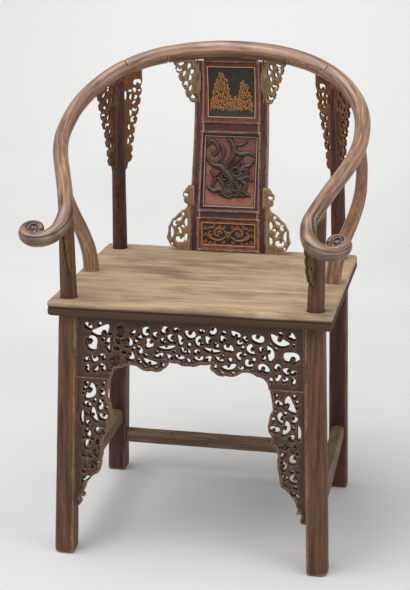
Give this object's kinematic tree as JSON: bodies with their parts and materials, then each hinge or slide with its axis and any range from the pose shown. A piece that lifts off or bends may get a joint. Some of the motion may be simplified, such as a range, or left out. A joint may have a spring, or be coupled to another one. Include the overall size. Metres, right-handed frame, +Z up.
{
  "type": "horseshoe back armchair",
  "caption": "Wooden armchair with a curved horseshoe crest rail ending in scroll arms, a panelled splat, and carved pierced apron, brackets and spandrels.",
  "frame": {"origin": "on the floor under the middle of the whole chair", "axes": "+Z up, -Y the way the sitter faces, +X to the right seen from the front"},
  "size_m": [0.5878, 0.5354, 0.9272],
  "materials": {
    "rail_wood": "turned and scraped hardwood, oiled, tan brown with dark streaks and a low polish",
    "pin_wood": "hardwood wedge pins, dark brown",
    "seat_wood": "bare worn board, grey beige, long grain across the seat, matt",
    "post_wood": "worn brown hardwood, oiled",
    "leg_wood": "worn brown hardwood, oiled, yellowish where the polish has gone",
    "stretcher_wood": "worn greyish brown hardwood",
    "top_panel_lacquer": "dark lacquer ground with gilt relief and a brick red border",
    "middle_panel_lacquer": "dusky red lacquer ground with dark high relief",
    "bottom_panel_lacquer": "dark lacquer ground with gilt and red scrolls, orange red border",
    "frame_lacquer": "crimson brown lacquer, rubbed on its beads",
    "carved_wood": "carved dark reddish brown hardwood, satin",
    "ear_wood": "carved olive brown wood, dry",
    "spandrel_wood": "carved brown wood with traces of an orange stain"
  },
  "bodies": {
    "root": {"crest_rail_centre": "rail_wood", "crest_rail_left_arm": "rail_wood", "crest_rail_right_arm": "rail_wood", "crest_rail_wedge_pins": "pin_wood", "front_apron": "carved_wood", "front_left_bracket": "carved_wood", "front_left_leg": "leg_wood", "front_left_post_spandrel": "spandrel_wood", "front_right_bracket": "carved_wood", "front_right_leg": "leg_wood", "front_right_post_spandrel": "spandrel_wood", "left_side_post": "post_wood", "left_side_stretcher": "stretcher_wood", "rear_left_inner_spandrel": "spandrel_wood", "rear_left_leg": "leg_wood", "rear_left_outer_spandrel": "spandrel_wood", "rear_right_inner_spandrel": "spandrel_wood", "rear_right_leg": "leg_wood", "rear_right_outer_spandrel": "spandrel_wood", "rear_stretcher": "stretcher_wood", "right_side_post": "post_wood", "right_side_stretcher": "stretcher_wood", "seat_board": "seat_wood", "splat_bottom_panel": "bottom_panel_lacquer", "splat_bottom_rail": "frame_lacquer", "splat_left_stile": "frame_lacquer", "splat_lower_left_ear": "ear_wood", "splat_lower_rail": "frame_lacquer", "splat_lower_right_ear": "ear_wood", "splat_middle_panel": "middle_panel_lacquer", "splat_right_stile": "frame_lacquer", "splat_top_panel": "top_panel_lacquer", "splat_top_rail": "frame_lacquer", "splat_upper_left_spandrel": "ear_wood", "splat_upper_rail": "frame_lacquer", "splat_upper_right_spandrel": "ear_wood"}
  },
  "joints": []
}
